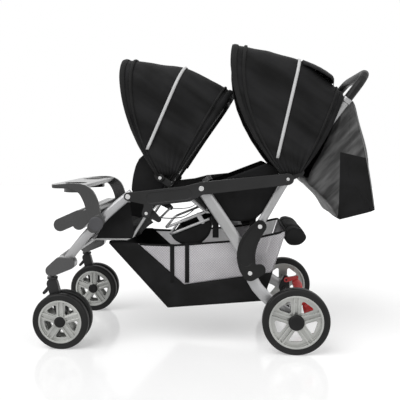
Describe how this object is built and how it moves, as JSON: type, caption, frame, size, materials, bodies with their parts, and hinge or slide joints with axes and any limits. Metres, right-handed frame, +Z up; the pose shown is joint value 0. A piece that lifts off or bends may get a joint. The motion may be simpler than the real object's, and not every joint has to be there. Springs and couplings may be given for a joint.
{
  "type": "tandem stroller",
  "caption": "Folding tandem stroller with two hooded seats in line, front tray, mesh basket, twin-wheel casters, spoked rear wheels and a foam push handle.",
  "frame": {"origin": "middle of the floor under the stroller's bounding box", "axes": "+X to the rear (push handle), +Y to the stroller's right, +Z up"},
  "size_m": [1.088, 0.524, 0.974],
  "materials": {
    "silver_tube": "satin silver coat on steel tube",
    "steel": "plain",
    "grey_plastic": "moulded, fine grain",
    "black_plastic": "moulded, satin",
    "footrest_plastic": "moulded, satin",
    "black_cloth": "woven polyester",
    "foam": "closed-cell foam",
    "red_plastic": "moulded",
    "tyre": "moulded foam rubber",
    "wheel_silver": "silver coat"
  },
  "bodies": {
    "chassis": {"side_beam_left": "grey_plastic", "side_beam_right": "grey_plastic", "front_leg_left": "silver_tube", "front_leg_right": "silver_tube", "front_cross_tube": "silver_tube", "footrest": "footrest_plastic", "caster_housing_left": "grey_plastic", "caster_housing_right": "grey_plastic", "front_seat_frame": "silver_tube", "front_seat_cushion": "black_cloth", "rear_seat_frame": "silver_tube", "rear_seat_cushion": "black_cloth", "rear_seat_skirts": "black_cloth", "rear_foot_tubes": "silver_tube", "rear_footwell": "black_cloth", "basket": "black_cloth", "basket_rim": "black_cloth", "basket_straps": "black_cloth", "rear_pivot_shaft": "steel", "recline_shaft": "steel", "frame_rivets": "steel"},
    "handle_frame": {"handle_tube_left": "silver_tube", "handle_tube_right": "silver_tube", "handle_collars": "silver_tube", "handle_grip": "foam", "rear_boot": "black_cloth"},
    "rear_frame": {"rear_leg_left": "silver_tube", "rear_leg_right": "silver_tube", "rear_axle": "steel", "axle_blocks": "grey_plastic"},
    "fold_link_left": {"fold_link_left": "black_plastic"},
    "fold_link_right": {"fold_link_right": "black_plastic"},
    "rear_back": {"rear_back_board": "grey_plastic", "rear_back_cushion": "black_cloth"},
    "recline_brackets": {"recline_brackets": "grey_plastic"},
    "front_back": {"front_back_frame": "silver_tube", "front_back_cushion": "black_cloth", "front_canopy_clips": "grey_plastic", "front_canopy_fabric": "black_cloth"},
    "front_canopy_bow": {"front_canopy_bow": "black_plastic"},
    "rear_canopy_hinges": {"rear_canopy_hinges": "grey_plastic", "rear_canopy_fabric": "black_cloth"},
    "rear_canopy_bow": {"rear_canopy_bow": "black_plastic"},
    "tray": {"tray": "grey_plastic"},
    "caster_left": {"caster_fork_left": "grey_plastic"},
    "front_wheel_left_outer": {"front_tyre_left_outer": "tyre", "front_rim_left_outer": "wheel_silver"},
    "front_wheel_left_inner": {"front_tyre_left_inner": "tyre", "front_rim_left_inner": "wheel_silver"},
    "rear_wheel_left": {"rear_tyre_left": "tyre", "rear_rim_left": "wheel_silver"},
    "brake_pedal_left": {"brake_pedal_left": "red_plastic"},
    "caster_right": {"caster_fork_right": "grey_plastic"},
    "front_wheel_right_outer": {"front_tyre_right_outer": "tyre", "front_rim_right_outer": "wheel_silver"},
    "front_wheel_right_inner": {"front_tyre_right_inner": "tyre", "front_rim_right_inner": "wheel_silver"},
    "rear_wheel_right": {"rear_tyre_right": "tyre", "rear_rim_right": "wheel_silver"},
    "brake_pedal_right": {"brake_pedal_right": "red_plastic"}
  },
  "joints": [
    {"name": "fold", "type": "hinge", "parent": "chassis", "child": "handle_frame", "pos_m": [0.269, 0, 0.55], "axis": [0, -1, 0], "range_deg": [0, 115], "deforming": ["front_canopy_fabric", "rear_canopy_fabric", "rear_boot"]},
    {"name": "rear_leg_fold", "type": "hinge", "parent": "chassis", "child": "rear_frame", "pos_m": [0, 0, 0.52], "axis": [0, -1, 0], "range_deg": [0, 52]},
    {"name": "link_swing_left", "type": "hinge", "parent": "rear_frame", "child": "fold_link_left", "pos_m": [0.154, 0, 0.252], "axis": [0, -1, 0], "range_deg": [-104, 0]},
    {"name": "link_swing_right", "type": "hinge", "parent": "rear_frame", "child": "fold_link_right", "pos_m": [0.154, 0, 0.252], "axis": [0, -1, 0], "range_deg": [-104, 0]},
    {"name": "recline_bracket_fold", "type": "hinge", "parent": "chassis", "child": "recline_brackets", "pos_m": [-0.175, 0, 0.44], "axis": [0, -1, 0], "range_deg": [0, 53]},
    {"name": "front_recline", "type": "hinge", "parent": "recline_brackets", "child": "front_back", "pos_m": [-0.175, 0, 0.44], "axis": [0, -1, 0], "range_deg": [-18, 0]},
    {"name": "front_canopy", "type": "hinge", "parent": "front_back", "child": "front_canopy_bow", "pos_m": [-0.1352, 0, 0.55021], "axis": [0, -1, 0], "range_deg": [-50, 0]},
    {"name": "rear_canopy_hub", "type": "hinge", "parent": "handle_frame", "child": "rear_canopy_hinges", "pos_m": [0.269, 0, 0.55], "axis": [0, -1, 0], "range_deg": [-73, 0]},
    {"name": "rear_canopy", "type": "hinge", "parent": "rear_canopy_hinges", "child": "rear_canopy_bow", "pos_m": [0.269, 0, 0.55], "axis": [0, -1, 0], "range_deg": [-50, 0]},
    {"name": "rear_recline", "type": "hinge", "parent": "handle_frame", "child": "rear_back", "pos_m": [0.269, 0, 0.55], "axis": [0, -1, 0], "range_deg": [-30, 0]},
    {"name": "tray_tilt", "type": "hinge", "parent": "chassis", "child": "tray", "pos_m": [-0.33546, 0, 0.40576], "axis": [0, -1, 0], "range_deg": [-35, 0]},
    {"name": "caster_swivel_left", "type": "hinge", "parent": "chassis", "child": "caster_left", "pos_m": [-0.485, -0.216, 0.232], "axis": [0, 0, 1], "continuous": true},
    {"name": "front_wheel_spin_left_outer", "type": "hinge", "parent": "caster_left", "child": "front_wheel_left_outer", "pos_m": [-0.453, -0.24, 0.091], "axis": [0, -1, 0], "continuous": true},
    {"name": "front_wheel_spin_left_inner", "type": "hinge", "parent": "caster_left", "child": "front_wheel_left_inner", "pos_m": [-0.453, -0.192, 0.091], "axis": [0, -1, 0], "continuous": true},
    {"name": "rear_wheel_spin_left", "type": "hinge", "parent": "rear_frame", "child": "rear_wheel_left", "pos_m": [0.298, -0.2455, 0.106], "axis": [0, -1, 0], "continuous": true},
    {"name": "brake_left", "type": "hinge", "parent": "rear_frame", "child": "brake_pedal_left", "pos_m": [0.304, -0.17, 0.14], "axis": [0, -1, 0], "range_deg": [-22, 0]},
    {"name": "caster_swivel_right", "type": "hinge", "parent": "chassis", "child": "caster_right", "pos_m": [-0.485, 0.216, 0.232], "axis": [0, 0, 1], "continuous": true},
    {"name": "front_wheel_spin_right_outer", "type": "hinge", "parent": "caster_right", "child": "front_wheel_right_outer", "pos_m": [-0.453, 0.24, 0.091], "axis": [0, -1, 0], "continuous": true},
    {"name": "front_wheel_spin_right_inner", "type": "hinge", "parent": "caster_right", "child": "front_wheel_right_inner", "pos_m": [-0.453, 0.192, 0.091], "axis": [0, -1, 0], "continuous": true},
    {"name": "rear_wheel_spin_right", "type": "hinge", "parent": "rear_frame", "child": "rear_wheel_right", "pos_m": [0.298, 0.2455, 0.106], "axis": [0, -1, 0], "continuous": true},
    {"name": "brake_right", "type": "hinge", "parent": "rear_frame", "child": "brake_pedal_right", "pos_m": [0.304, 0.17, 0.14], "axis": [0, -1, 0], "range_deg": [-22, 0]}
  ],
  "couplings": [
    {"joint": "rear_leg_fold", "follows": "fold", "ratio": 0.437},
    {"joint": "link_swing_left", "follows": "fold", "ratio": -0.886},
    {"joint": "link_swing_right", "follows": "fold", "ratio": -0.886},
    {"joint": "recline_bracket_fold", "follows": "fold", "ratio": 0.45},
    {"joint": "rear_canopy_hub", "follows": "fold", "ratio": -0.62}
  ]
}
